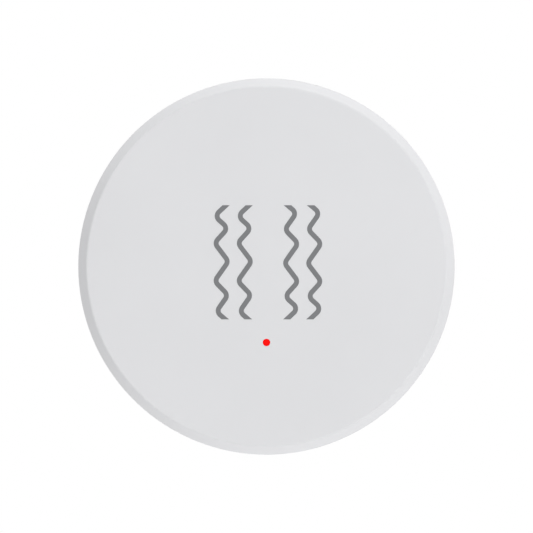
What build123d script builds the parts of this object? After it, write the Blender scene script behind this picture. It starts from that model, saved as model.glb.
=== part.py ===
from build123d import *
from math import asin, degrees
import os

# Vibration sensor tag for a home, in millimetres: a round white tag that sticks to a wall, a door
# or a machine and reports when it shakes. +Z is up, the front faces -Y, and the origin is the
# centre of the adhesive face. A depth is counted from that face towards the front.

# Clearances shared by all pieces, and the overrun of every through cut
slide_gap = 0.05
seal_gap = 0.02
touch_gap = 0.02
overrun = 1.0

# Coin cell of the common 20 by 3.2 size, can towards the door, cap towards the board
cell_radius = 10.0
cell_height = 3.2
cell_sheet = 0.25
cell_cap_proud = 0.2
cell_lip = 0.65
cell_gasket_show = 0.55
cell_gasket_foot = 0.3
cell_gasket_reach = 0.6

# Battery bay, and the ledge under which the door's lugs turn
bay_gap = 0.25
bay_wall = 1.2
mouth_step = 0.15
ledge_height = 1.0
track_gap = 0.15
track_roof = 0.8
hub_wall = 0.8

# Battery door with three bayonet lugs, turned with a coin
door_flange = 1.1
door_inset = 0.05
door_edge = 0.25
door_side_gap = 0.1
neck_gap = 0.12
neck_wall = 1.2
door_skin = 1.35
lug_reach = 1.0
lug_height = 0.85
lug_count = 3
lug_angle = 90
lug_sweep = 30
lug_play = 1.5
lug_ramp = 0.3
door_twist = 40
coin_radius = 11.5
coin_slot_width = 1.9
coin_slot_depth = 1.0
coin_slot_floor = 1.0
coin_slot_wall = 1.0
coin_boss_share = 0.9
cell_rest_share = 0.62
door_rib = 0.8
door_rib_count = 6

# Seals: one under the door, one round the spigot, one on the button
door_seal_land = 0.13
door_seal_width = 0.84
door_seal_height = 0.6
door_seal_side = 0.08
door_seal_lip = 0.42
door_seal_round_share = 0.43
shell_seal_width = 0.94
shell_groove_depth = 0.7
shell_groove_side = 0.03
button_seal_width = 0.5

# Rear housing
plate_height = 1.5
plate_step = 0.15
plate_chamfer = 0.5
spigot_reach = 3.3
spigot_core = 0.6
spigot_lead = 0.25
groove_setback = 1.3
rib_width = 0.9
rib_height = 1.3
rib_angles = (22.5, 67.5, 112.5, 157.5, 202.5, 247.5, 292.5, 337.5)

# Front cover
cover_face = 1.4
cover_wall = 1.5
shell_gap = 0.1
shadow_gap = 0.2
rim_width = 0.96
rim_depth = 1.02
rim_inner_round = 0.3
rim_outer_round = 0.2
cover_root_round = 0.5
cover_lead = 0.3

# Housing screws, driven from the back into the cover's bosses
screw_count = 4
screw_angle = 45
screw_head_radius = 1.75
screw_head_height = 1.2
screw_radius = 0.95
screw_length = 6.0
screw_recess = 0.1
screw_edge = 0.3
cross_length = 2.0
cross_width = 0.45
cross_depth = 0.7
head_gap = 0.2
shaft_gap = 0.15
thread_gap = 0.05
post_wall = 1.3
post_reach = 2.6
boss_wall = 0.8
boss_shoulder = 0.5
boss_end_gap = 0.1
boss_gap = 0.15
thread_depth_spare = 0.6
screw_ring_space = 2.15

# Circuit board, clamped between the bay's wall and the cover's bosses
board_height = 0.8
board_side_gap = 0.5
parts_clear = 0.1
contact_room = 0.8
crush_rib_width = 0.8
crush_rib_gap = 0.05
crush_rib_reach = 0.4
crush_rib_angles = (15, 75, 105, 165, 195, 255, 285, 345)
key_width = 2.0
key_reach = 1.2
key_gap = 0.12

# Indicator: a light pipe through the face, over a lamp on the board
indicator_drop = 8.46
pipe_radius = 0.4
pipe_gap = 0.02
pipe_foot_radius = 0.9
pipe_foot_height = 0.85
pipe_lamp_gap = 0.1
pipe_boss_wall = 0.58
pipe_boss_setback = 0.05
lamp_length = 1.6
lamp_width = 0.8
lamp_base_height = 0.3
lamp_lens_length = 1.0
lamp_lens_height = 0.25
lamp_lens_round = 0.1

# Pairing button and the switch that it presses
button_radius = 1.25
button_inset = 0.2
button_edge = 0.15
button_side_gap = 0.1
button_flange = 0.35
button_flange_height = 1.25
button_stem_radius = 1.0
button_groove_floor = 1.15
button_groove_side = 0.04
guide_gap = 0.1
guide_wall = 0.6
guide_reach = 2.3
button_travel = 0.25
switch_length = 3.0
switch_width = 2.6
switch_floor = 0.3
switch_wall = 0.15
switch_plate = 0.2
switch_plate_margin = 0.1
plunger_radius = 0.75
plunger_reach = 0.5
plunger_flange_gap = 0.1
plunger_flange_height = 0.28
dome_height = 0.5
dome_sheet = 0.08

# Spring contacts of the cell
contact_sheet = 0.2
contact_bend = 0.25
side_contact_width = 2.6
side_contact_foot = 2.6
side_contact_pad = 0.6
side_contact_sweep = 0.75
side_contact_clear = 0.3
side_contact_touch_share = 0.7
side_slot_gap = 0.3
centre_contact_width = 3.0
centre_contact_foot = 2.6
centre_contact_reach = 5.4
centre_contact_pad = 1.0
centre_contact_tip = 1.1
centre_contact_curl = 0.33

# Adhesive foam, one crescent on each side
pad_height = 0.8
pad_half_sweep = 32
pad_margin_in = 0.8
pad_margin_out = 1.05
pad_round = 1.0

# Electronic parts, as length, width and height, with their places as shares of the board's radius
radio_size = (5.0, 5.0, 0.85)
radio_place_share = (-0.24, 0.36)
accelerometer_size = (2.5, 2.5, 0.83)
accelerometer_place_share = (0.0, 0.0)
antenna_size = (5.0, 2.0, 0.9)
antenna_place_share = (0.30, 0.80)
main_crystal_size = (2.5, 2.0, 0.6)
main_crystal_place_share = (-0.58, 0.32)
clock_crystal_size = (3.2, 1.5, 0.8)
clock_crystal_place_share = (-0.58, 0.14)
inductor_size = (2.0, 1.6, 1.0)
inductor_place_shares = ((0.10, 0.44), (0.10, 0.27))
resistor_size = (1.0, 0.5, 0.35)
resistor_place_shares = ((0.14, -0.44), (0.14, -0.50), (-0.15, -0.44), (-0.36, 0.14),
                         (-0.30, 0.14), (0.34, 0.62), (0.26, 0.02))
capacitor_size = (1.0, 0.5, 0.5)
capacitor_place_shares = ((-0.04, 0.30), (-0.04, 0.36), (-0.04, 0.42), (-0.24, 0.56), (-0.16, 0.56),
                          (0.16, 0.62), (0.16, 0.68), (0.15, 0.02), (0.15, -0.05), (-0.46, 0.24))
buffer_size = (3.5, 2.8, 1.9)
buffer_place_share = (0.76, 0.24)
part_edge = 0.08
front_part_sizes = (radio_size, accelerometer_size, antenna_size, main_crystal_size, clock_crystal_size,
                    inductor_size, resistor_size, capacitor_size)

# Radii, worked out from the coin cell outwards
cell_cap_radius = cell_radius - cell_lip - cell_gasket_show
bay_radius = cell_radius + bay_gap
bay_outer = bay_radius + bay_wall
mouth_radius = bay_radius + mouth_step
neck_radius = mouth_radius - neck_gap
lug_radius = neck_radius + lug_reach
track_radius = lug_radius + track_gap
door_seal_radius = track_radius + door_seal_land + door_seal_width / 2
door_groove_half = door_seal_width / 2 + door_seal_side
door_radius = door_seal_radius + door_groove_half + door_seal_lip
seat_radius = door_radius + door_side_gap
hub_radius = seat_radius + hub_wall
screw_ring = hub_radius + screw_ring_space
spigot_inner = screw_ring + screw_ring_space
groove_radius = spigot_inner + spigot_core
spigot_radius = groove_radius + shell_groove_depth
cover_inner = spigot_radius + shell_gap
tag_radius = cover_inner + cover_wall
plate_radius = tag_radius - plate_step
board_radius = cover_inner - board_side_gap
boss_radius = screw_radius + thread_gap + boss_wall
post_radius = screw_radius + shaft_gap + post_wall
pipe_boss_radius = pipe_foot_radius + pipe_gap + pipe_boss_wall
switch_cavity_radius = switch_width / 2 - switch_wall
plunger_flange_radius = switch_cavity_radius - plunger_flange_gap
dome_radius = switch_cavity_radius - slide_gap

# Depths, worked out from the wall towards the front
plate_back = pad_height
plate_front = plate_back + plate_height
door_back = plate_back + door_inset
flange_front = door_back + door_flange
seat_depth = flange_front + slide_gap
ledge_front = seat_depth + ledge_height
lug_back = ledge_front + slide_gap
lug_front = lug_back + lug_height
track_front = lug_front + slide_gap
hub_front = track_front + track_roof
cell_back = lug_front + 2 * slide_gap
cell_front = cell_back + cell_height
board_back = cell_front + contact_room
board_front = board_back + board_height
parts_room = max(size[2] for size in front_part_sizes) + parts_clear
cover_face_back = board_front + parts_room
tag_front = cover_face_back + cover_face
skirt_end = plate_front + shadow_gap
spigot_front = plate_front + spigot_reach
door_cup_floor = door_back + door_skin
slot_floor_depth = door_back + coin_slot_depth
screw_head_back = plate_back + screw_recess
screw_seat = screw_head_back + screw_head_height
screw_tip = screw_seat + screw_length
post_front = plate_front + post_reach
boss_end = post_front + boss_end_gap
groove_back = plate_front + groove_setback
groove_front = groove_back + shell_seal_width + 2 * shell_groove_side
shell_seal_height = cover_inner - groove_radius - 2 * seal_gap
cell_can_front = cell_front - cell_cap_proud
cap_edge = cell_back + cell_sheet + cell_gasket_foot
pipe_foot_back = board_front + lamp_base_height + lamp_lens_height + pipe_lamp_gap
pipe_step = pipe_foot_back + pipe_foot_height

# Button and switch, worked out from the board towards the back
dome_floor = board_back - switch_floor
dome_apex = dome_floor - dome_height - dome_sheet
plunger_flange_front = dome_apex - button_travel - slide_gap
plunger_flange_back = plunger_flange_front - plunger_flange_height
switch_cover_front = plunger_flange_back - touch_gap
switch_back = switch_cover_front - switch_plate
plunger_back = switch_back - plunger_reach
button_back = plate_back + button_inset
button_flange_radius = button_radius + button_flange
button_flange_back = plate_front + slide_gap
button_flange_front = button_flange_back + button_flange_height
button_groove_back = (button_flange_back + button_flange_front - button_seal_width) / 2 - button_groove_side
button_groove_front = (button_flange_back + button_flange_front + button_seal_width) / 2 + button_groove_side
guide_radius = button_flange_radius + guide_gap

# Angles of the bayonet: the door opens clockwise as seen from the front
lug_angles = [lug_angle + 360 / lug_count * turn for turn in range(lug_count)]
notch_start = -door_twist - lug_sweep / 2 - lug_play
notch_sweep = lug_sweep + 2 * lug_play
track_start = notch_start
track_sweep = door_twist + notch_sweep


def level(depth):
    """Plane parallel to the wall at a depth, seen from the front, with +X right and +Z up."""
    return Plane.XZ.offset(depth)


def turning_plane(x=0.0, z=0.0):
    """Plane of a turned profile, whose points are (radius, depth), for an axis through (x, z)."""
    return Plane(origin=(x, 0, z), x_dir=(1, 0, 0), z_dir=(0, 0, -1))


def turning_axis(x=0.0, z=0.0):
    """Axis square to the wall through (x, z)."""
    return Axis((x, 0, z), (0, 1, 0))


def outline(*points):
    """Closed straight-sided outline, as a face of the sketch that is open."""
    with BuildLine() as edge_loop:
        Polyline(*points, close=True)
    make_face(edge_loop.edges())


def ring_sector(inner, outer, start, sweep, centre=(0, 0)):
    """Part of a flat ring between two radii, as a face of the sketch that is open."""
    with BuildLine() as edge_loop:
        inside = CenterArc(centre, inner, start, sweep)
        outside = CenterArc(centre, outer, start, sweep)
        Line(inside @ 0, outside @ 0)
        Line(inside @ 1, outside @ 1)
    make_face(edge_loop.edges())


def on_board(*shares):
    """Places on the board, given as shares of its radius."""
    return [(x * board_radius, z * board_radius) for x, z in shares]


# Front cover: one turned shell, with bosses, ribs and the light pipe's seat moulded inside
with BuildPart() as front_cover:
    with BuildSketch(turning_plane()):
        outline(
            (0, tag_front),
            (tag_radius - rim_width, tag_front),
            (tag_radius, tag_front - rim_depth),
            (tag_radius, skirt_end),
            (cover_inner + cover_lead, skirt_end),
            (cover_inner, skirt_end + cover_lead),
            (cover_inner, cover_face_back),
            (0, cover_face_back),
        )
    revolve(axis=Axis.Y)
    rim_edges = front_cover.edges().filter_by(GeomType.CIRCLE)
    face_edge = rim_edges.group_by(Axis.Y)[0]
    shoulder_edge = rim_edges.group_by(Axis.Y)[1]
    fillet(face_edge, radius=rim_inner_round)
    fillet(shoulder_edge, radius=rim_outer_round)
    root_edge = front_cover.edges().filter_by_position(
        Axis.Y, -cover_face_back, -cover_face_back, inclusive=(True, True)
    )
    fillet(root_edge, radius=cover_root_round)

    # Screw bosses, with a shoulder that holds the board down and a web out to the wall
    with BuildSketch(level(boss_end)):
        with PolarLocations(screw_ring, screw_count, start_angle=screw_angle):
            Circle(boss_radius)
    extrude(amount=cover_face_back - boss_end)
    with BuildSketch(level(board_front)):
        with PolarLocations(screw_ring, screw_count, start_angle=screw_angle):
            Circle(boss_radius + boss_shoulder)
    extrude(amount=parts_room)
    web_reach = cover_inner + cover_wall / 2 - screw_ring
    with BuildSketch(level(board_front + crush_rib_gap)):
        with PolarLocations(screw_ring + web_reach / 2, screw_count, start_angle=screw_angle):
            Rectangle(web_reach, rib_width)
    extrude(amount=parts_room)
    with BuildSketch(level(boss_end)):
        with PolarLocations(screw_ring, screw_count, start_angle=screw_angle):
            Circle(screw_radius + thread_gap)
    extrude(amount=screw_tip + thread_depth_spare - boss_end, mode=Mode.SUBTRACT)

    # Crush ribs that centre the board, and the key that sets its turn
    rib_start = board_back - crush_rib_reach
    rib_inner = board_radius + crush_rib_gap
    rib_outer = cover_inner + cover_wall / 2
    with BuildSketch(level(rib_start)):
        for angle in crush_rib_angles:
            with PolarLocations((rib_inner + rib_outer) / 2, 1, start_angle=angle):
                Rectangle(rib_outer - rib_inner, crush_rib_width)
        with Locations((0, rib_outer - (rib_outer - cover_inner + key_reach) / 2)):
            Rectangle(key_width, rib_outer - cover_inner + key_reach)
    extrude(amount=cover_face_back - rib_start)

    # Stepped seat of the light pipe
    with BuildSketch(level(pipe_foot_back - pipe_boss_setback)):
        with Locations((0, -indicator_drop)):
            Circle(pipe_boss_radius)
    extrude(amount=cover_face_back - pipe_foot_back + pipe_boss_setback)
    with BuildSketch(level(board_front)):
        with Locations((0, -indicator_drop)):
            Circle(pipe_foot_radius + pipe_gap)
    extrude(amount=pipe_step - board_front, mode=Mode.SUBTRACT)
    with BuildSketch(level(board_front)):
        with Locations((0, -indicator_drop)):
            Circle(pipe_radius + pipe_gap)
    extrude(amount=tag_front + overrun - board_front, mode=Mode.SUBTRACT)

# Light pipe: a clear peg, flush with the face, whose foot looks down on the lamp
with BuildPart() as light_pipe:
    with BuildSketch(turning_plane(z=-indicator_drop)):
        outline(
            (0, pipe_foot_back),
            (pipe_foot_radius, pipe_foot_back),
            (pipe_foot_radius, pipe_step - pipe_gap),
            (pipe_radius, pipe_step - pipe_gap),
            (pipe_radius, tag_front),
            (0, tag_front),
        )
    revolve(axis=turning_axis(z=-indicator_drop))

# Rear housing: turned plate, hub, battery bay and spigot with the seal's groove
with BuildPart() as rear_housing:
    with BuildSketch(turning_plane()):
        outline(
            (seat_radius, plate_back),
            (plate_radius - plate_chamfer, plate_back),
            (plate_radius, plate_back + plate_chamfer),
            (plate_radius, plate_front),
            (spigot_radius, plate_front),
            (spigot_radius, groove_back),
            (groove_radius, groove_back),
            (groove_radius, groove_front),
            (spigot_radius, groove_front),
            (spigot_radius, spigot_front - spigot_lead),
            (spigot_radius - spigot_lead, spigot_front),
            (spigot_inner, spigot_front),
            (spigot_inner, plate_front),
            (hub_radius, plate_front),
            (hub_radius, hub_front),
            (bay_outer, hub_front),
            (bay_outer, board_back),
            (bay_radius, board_back),
            (bay_radius, track_front),
            (mouth_radius, track_front),
            (mouth_radius, seat_depth),
            (seat_radius, seat_depth),
        )
    revolve(axis=Axis.Y)

    # Screw posts and the button's guide, which grow out of the hub and the spigot
    with BuildSketch(level(plate_back)):
        with PolarLocations(screw_ring, screw_count, start_angle=screw_angle):
            Circle(post_radius)
    extrude(amount=post_front - plate_back)
    with BuildSketch(level(plate_back)):
        with Locations((0, -screw_ring)):
            Circle(guide_radius + guide_wall)
    extrude(amount=plate_height + guide_reach)

    # Ribs between the hub and the spigot
    with BuildSketch(level(plate_front)):
        for angle in rib_angles:
            with PolarLocations(screw_ring, 1, start_angle=angle):
                Rectangle(spigot_inner - hub_radius + spigot_core, rib_width)
    extrude(amount=rib_height)

    # Bores of the screws and of the button
    with BuildSketch(level(plate_back - overrun)):
        with PolarLocations(screw_ring, screw_count, start_angle=screw_angle):
            Circle(screw_radius + shaft_gap)
    extrude(amount=post_front - plate_back + 2 * overrun, mode=Mode.SUBTRACT)
    with BuildSketch(level(plate_back - overrun)):
        with PolarLocations(screw_ring, screw_count, start_angle=screw_angle):
            Circle(screw_head_radius + head_gap)
    extrude(amount=screw_seat - plate_back + overrun, mode=Mode.SUBTRACT)
    with BuildSketch(level(plate_back - overrun)):
        with Locations((0, -screw_ring)):
            Circle(button_radius + button_side_gap)
    extrude(amount=plate_height + 2 * overrun, mode=Mode.SUBTRACT)
    with BuildSketch(level(plate_front)):
        with Locations((0, -screw_ring)):
            Circle(guide_radius)
    extrude(amount=guide_reach + overrun, mode=Mode.SUBTRACT)

    # Notches that let the door's lugs in, and the tracks in which they turn and stop
    with BuildSketch(level(seat_depth)):
        for angle in lug_angles:
            ring_sector(bay_radius, track_radius, angle + notch_start, notch_sweep)
    extrude(amount=ledge_height, mode=Mode.SUBTRACT)
    with BuildSketch(level(ledge_front)):
        for angle in lug_angles:
            ring_sector(bay_radius, track_radius, angle + track_start, track_sweep)
    extrude(amount=track_front - ledge_front, mode=Mode.SUBTRACT)

    # Slot in the bay's wall for the side contact
    with BuildSketch(level(hub_front + slide_gap)):
        with Locations((-(bay_radius + bay_outer) / 2, 0)):
            Rectangle(2 * bay_wall, side_contact_width + 2 * side_slot_gap)
    extrude(amount=board_back - hub_front, mode=Mode.SUBTRACT)

# Seal round the spigot, squeezed between its groove and the cover
with BuildPart() as housing_seal:
    with BuildSketch(turning_plane()):
        with Locations(((groove_radius + cover_inner) / 2, (groove_back + groove_front) / 2)):
            RectangleRounded(shell_seal_height, shell_seal_width, shell_seal_height / 2 - seal_gap)
    revolve(axis=Axis.Y)

# Screws from the back, with a cross recess
with BuildPart() as housing_screws:
    with BuildSketch(level(screw_head_back)):
        with PolarLocations(screw_ring, screw_count, start_angle=screw_angle):
            Circle(screw_head_radius)
    extrude(amount=screw_head_height)
    chamfer(housing_screws.edges().group_by(Axis.Y)[-1], length=screw_edge)
    with BuildSketch(level(screw_seat)):
        with PolarLocations(screw_ring, screw_count, start_angle=screw_angle):
            Circle(screw_radius)
    extrude(amount=screw_length)
    with BuildSketch(level(screw_head_back)):
        with PolarLocations(screw_ring, screw_count, start_angle=screw_angle):
            Rectangle(cross_length, cross_width)
            Rectangle(cross_width, cross_length)
    extrude(amount=cross_depth, mode=Mode.SUBTRACT)

# Battery door: a turned cup with a flange, lugs, and a coin slot across its back
with BuildPart() as battery_door:
    with BuildSketch(turning_plane()):
        outline(
            (0, door_back),
            (door_radius - door_edge, door_back),
            (door_radius, door_back + door_edge),
            (door_radius, flange_front),
            (door_seal_radius + door_groove_half, flange_front),
            (door_seal_radius + door_groove_half, flange_front - door_seal_height),
            (door_seal_radius - door_groove_half, flange_front - door_seal_height),
            (door_seal_radius - door_groove_half, flange_front),
            (neck_radius, flange_front),
            (neck_radius, lug_front),
            (neck_radius - neck_wall, lug_front),
            (neck_radius - neck_wall, door_cup_floor),
            (0, door_cup_floor),
        )
    revolve(axis=Axis.Y)

    # Lugs, with a ramp at each end that leads them under the ledge
    with BuildSketch(level(lug_back)):
        for angle in lug_angles:
            ring_sector(neck_radius - neck_wall / 2, lug_radius, angle - lug_sweep / 2, lug_sweep)
    extrude(amount=lug_height)
    lug_back_edges = battery_door.edges().filter_by_position(
        Axis.Y, -lug_back, -lug_back, inclusive=(True, True)
    )
    chamfer(lug_back_edges.filter_by(GeomType.LINE), length=lug_ramp)

    # Ring and ribs that carry the cell
    ring_radius = cell_radius * cell_rest_share
    with BuildSketch(level(door_cup_floor)):
        Circle(ring_radius + door_rib / 2)
        Circle(ring_radius - door_rib / 2, mode=Mode.SUBTRACT)
        with PolarLocations((ring_radius + neck_radius - neck_wall) / 2, door_rib_count):
            Rectangle(neck_radius - neck_wall / 2 - ring_radius, door_rib)
    extrude(amount=lug_front - door_cup_floor)

    # Boss behind the coin slot, then the slot itself, as deep as a coin reaches
    slot_half_length = (coin_radius**2 - (coin_radius - coin_slot_depth) ** 2) ** 0.5
    with BuildSketch(level(door_cup_floor)):
        RectangleRounded(
            2 * slot_half_length * coin_boss_share,
            coin_slot_width + 2 * coin_slot_wall,
            coin_slot_width / 2,
        )
    extrude(amount=slot_floor_depth + coin_slot_floor - door_cup_floor)
    with BuildSketch(Plane.XY):
        with Locations((0, coin_radius - slot_floor_depth)):
            Circle(coin_radius)
    extrude(amount=coin_slot_width / 2, both=True, mode=Mode.SUBTRACT)

# Seal of the door, in the flange's groove
with BuildPart() as door_seal:
    with BuildSketch(turning_plane()):
        ring_height = door_seal_height - seal_gap
        with Locations((door_seal_radius, flange_front - (door_seal_height - slide_gap) / 2 + seal_gap)):
            RectangleRounded(door_seal_width, ring_height, ring_height * door_seal_round_share)
    revolve(axis=Axis.Y)

# Pairing button: head, flange with a seal groove, and the stem that reaches the switch
with BuildPart() as pairing_button:
    with BuildSketch(turning_plane(z=-screw_ring)):
        outline(
            (0, button_back),
            (button_radius - button_edge, button_back),
            (button_radius, button_back + button_edge),
            (button_radius, button_flange_back),
            (button_flange_radius, button_flange_back),
            (button_flange_radius, button_groove_back),
            (button_groove_floor, button_groove_back),
            (button_groove_floor, button_groove_front),
            (button_flange_radius, button_groove_front),
            (button_flange_radius, button_flange_front),
            (button_stem_radius, button_flange_front),
            (button_stem_radius, plunger_back - slide_gap),
            (0, plunger_back - slide_gap),
        )
    revolve(axis=turning_axis(z=-screw_ring))

# Seal of the button, which slides in the guide
with BuildPart() as button_seal:
    with BuildSketch(turning_plane(z=-screw_ring)):
        seal_inner = button_groove_floor + seal_gap
        seal_outer = guide_radius - seal_gap
        with Locations(((seal_inner + seal_outer) / 2, (button_groove_back + button_groove_front) / 2)):
            RectangleRounded(
                seal_outer - seal_inner, button_seal_width, (seal_outer - seal_inner) / 2 - seal_gap
            )
    revolve(axis=turning_axis(z=-screw_ring))


def adhesive_pad(middle_angle):
    """Foam crescent on the back plate, centred on an angle."""
    with BuildPart() as pad:
        with BuildSketch(level(0)) as crescent:
            ring_sector(
                seat_radius + pad_margin_in,
                plate_radius - pad_margin_out,
                middle_angle - pad_half_sweep,
                2 * pad_half_sweep,
            )
            fillet(crescent.vertices(), radius=pad_round)
        extrude(amount=pad_height)
    return pad


adhesive_pad_left = adhesive_pad(180)
adhesive_pad_right = adhesive_pad(0)

# Circuit board, with holes for the screw bosses and a notch for the cover's key
with BuildPart() as circuit_board:
    with BuildSketch(level(board_back)):
        Circle(board_radius)
        with PolarLocations(screw_ring, screw_count, start_angle=screw_angle):
            Circle(boss_radius + boss_gap, mode=Mode.SUBTRACT)
        with Locations((0, board_radius)):
            notch_reach = board_radius - cover_inner + key_reach + key_gap
            Rectangle(key_width + 2 * key_gap, 2 * notch_reach, mode=Mode.SUBTRACT)
    extrude(amount=board_height)


def packages(size, places):
    """Electronic parts of one size on the front of the board, with their top edges broken."""
    length, width, height = size
    with BuildPart() as group:
        with BuildSketch(level(board_front)):
            with Locations(*places):
                Rectangle(length, width)
        extrude(amount=height)
        chamfer(group.edges().group_by(Axis.Y)[0], length=part_edge)
    return group


radio_chip = packages(radio_size, on_board(radio_place_share))
accelerometer = packages(accelerometer_size, on_board(accelerometer_place_share))
chip_antenna = packages(antenna_size, on_board(antenna_place_share))
main_crystal = packages(main_crystal_size, on_board(main_crystal_place_share))
clock_crystal = packages(clock_crystal_size, on_board(clock_crystal_place_share))
inductors = packages(inductor_size, on_board(*inductor_place_shares))
resistors = packages(resistor_size, on_board(*resistor_place_shares))
capacitors = packages(capacitor_size, on_board(*capacitor_place_shares))

# Buffer capacitor on the back of the board, beside the bay
with BuildPart() as buffer_capacitor:
    with BuildSketch(level(board_back - buffer_size[2])):
        with Locations(*on_board(buffer_place_share)):
            Rectangle(buffer_size[0], buffer_size[1])
    extrude(amount=buffer_size[2])
    chamfer(buffer_capacitor.edges().group_by(Axis.Y)[-1], length=part_edge)

# Indicator lamp: a white base with a clear lens under the light pipe
with BuildPart() as led_base:
    with BuildSketch(level(board_front)):
        with Locations((0, -indicator_drop)):
            Rectangle(lamp_length, lamp_width)
    extrude(amount=lamp_base_height)

with BuildPart() as led_lens:
    with BuildSketch(level(board_front + lamp_base_height)):
        with Locations((0, -indicator_drop)):
            Rectangle(lamp_lens_length, lamp_width)
    extrude(amount=lamp_lens_height)
    fillet(led_lens.edges().group_by(Axis.Y)[0], radius=lamp_lens_round)

# Switch under the button: base, cover plate, snap dome and plunger
with BuildPart() as switch_base:
    with BuildSketch(level(switch_cover_front)):
        with Locations((0, -screw_ring)):
            Rectangle(switch_length, switch_width)
            Circle(switch_cavity_radius, mode=Mode.SUBTRACT)
    extrude(amount=dome_floor - switch_cover_front)
    with BuildSketch(level(dome_floor)):
        with Locations((0, -screw_ring)):
            Rectangle(switch_length, switch_width)
    extrude(amount=switch_floor)

with BuildPart() as switch_cover:
    with BuildSketch(level(switch_back)):
        with Locations((0, -screw_ring)):
            RectangleRounded(
                switch_length - 2 * switch_plate_margin,
                switch_width - 2 * switch_plate_margin,
                switch_plate,
            )
            Circle(plunger_radius + slide_gap, mode=Mode.SUBTRACT)
    extrude(amount=switch_plate)

with BuildPart() as switch_plunger:
    with BuildSketch(turning_plane(z=-screw_ring)):
        outline(
            (0, plunger_back),
            (plunger_radius, plunger_back),
            (plunger_radius, plunger_flange_back),
            (plunger_flange_radius, plunger_flange_back),
            (plunger_flange_radius, plunger_flange_front),
            (0, plunger_flange_front),
        )
    revolve(axis=turning_axis(z=-screw_ring))

with BuildPart() as snap_dome:
    dome_curve = (dome_radius**2 + dome_height**2) / (2 * dome_height)
    dome_sweep = degrees(asin(dome_radius / dome_curve))
    with BuildSketch(turning_plane(z=-screw_ring)):
        ring_sector(
            dome_curve - dome_sheet,
            dome_curve,
            -90,
            dome_sweep,
            centre=(0, dome_apex + dome_curve),
        )
    revolve(axis=turning_axis(z=-screw_ring))

# Coin cell: can, gasket, cap, and the wound or pressed stack inside as one solid
with BuildPart() as cell_can:
    with BuildSketch(turning_plane()):
        outline(
            (0, cell_back),
            (cell_radius, cell_back),
            (cell_radius, cell_can_front),
            (cell_radius - cell_lip, cell_can_front),
            (cell_radius - cell_lip, cell_can_front - cell_sheet),
            (cell_radius - cell_sheet, cell_can_front - cell_sheet),
            (cell_radius - cell_sheet, cell_back + cell_sheet),
            (0, cell_back + cell_sheet),
        )
    revolve(axis=Axis.Y)
    fillet(cell_can.edges().group_by(Axis.Y)[-1], radius=cell_sheet)

with BuildPart() as cell_gasket:
    with BuildSketch(turning_plane()):
        outline(
            (cell_cap_radius - cell_gasket_reach, cell_back + cell_sheet),
            (cell_radius - cell_sheet, cell_back + cell_sheet),
            (cell_radius - cell_sheet, cell_can_front - cell_sheet),
            (cell_radius - cell_lip, cell_can_front - cell_sheet),
            (cell_radius - cell_lip, cell_can_front),
            (cell_cap_radius, cell_can_front),
            (cell_cap_radius, cap_edge),
            (cell_cap_radius - cell_gasket_reach, cap_edge),
        )
    revolve(axis=Axis.Y)

with BuildPart() as cell_cap:
    with BuildSketch(turning_plane()):
        outline(
            (0, cell_front),
            (cell_cap_radius, cell_front),
            (cell_cap_radius, cap_edge),
            (cell_cap_radius - cell_sheet, cap_edge),
            (cell_cap_radius - cell_sheet, cell_front - cell_sheet),
            (0, cell_front - cell_sheet),
        )
    revolve(axis=Axis.Y)
    fillet(cell_cap.edges().group_by(Axis.Y)[0], radius=cell_sheet / 2)

with BuildPart() as cell_core:
    with BuildSketch(level(cell_back + cell_sheet)):
        Circle(cell_cap_radius - cell_gasket_reach)
    extrude(amount=cell_height - 2 * cell_sheet)


def bent_strip(width, side, *points):
    """Spring strip whose one face follows points (x, depth) and whose sheet lies on one side of them."""
    with BuildPart() as strip:
        with BuildSketch(Plane.XY):
            with BuildLine() as path:
                FilletPolyline(*[(x, -depth) for x, depth in points], radius=contact_bend)
                offset(amount=contact_sheet, side=side)
            make_face(path.edges())
        extrude(amount=width / 2, both=True)
    return strip


# Side contact: its foot is soldered to the board, and its bow presses on the can's side
touch_x = -cell_radius - touch_gap
bow_x = touch_x - side_contact_sweep
leg_x = -bay_outer - side_contact_clear
touch_depth = cell_back + cell_height * side_contact_touch_share
positive_contact = bent_strip(
    side_contact_width,
    Side.LEFT,
    (bow_x, board_back - side_contact_clear),
    (touch_x, touch_depth + side_contact_pad / 2),
    (touch_x, touch_depth - side_contact_pad / 2),
    (bow_x, hub_front + side_contact_clear),
    (leg_x, hub_front + side_contact_clear),
    (leg_x, board_back - contact_sheet),
    (leg_x - side_contact_foot, board_back - contact_sheet),
)

# Centre contact: a leaf whose bent tip presses on the middle of the cap
leaf_touch_depth = cell_front + touch_gap
negative_contact = bent_strip(
    centre_contact_width,
    Side.LEFT,
    (centre_contact_reach + centre_contact_foot, board_back - contact_sheet),
    (centre_contact_reach, board_back - contact_sheet),
    (centre_contact_pad / 2, leaf_touch_depth),
    (-centre_contact_pad / 2, leaf_touch_depth),
    (-centre_contact_pad / 2 - centre_contact_tip, leaf_touch_depth + centre_contact_curl),
)

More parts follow.
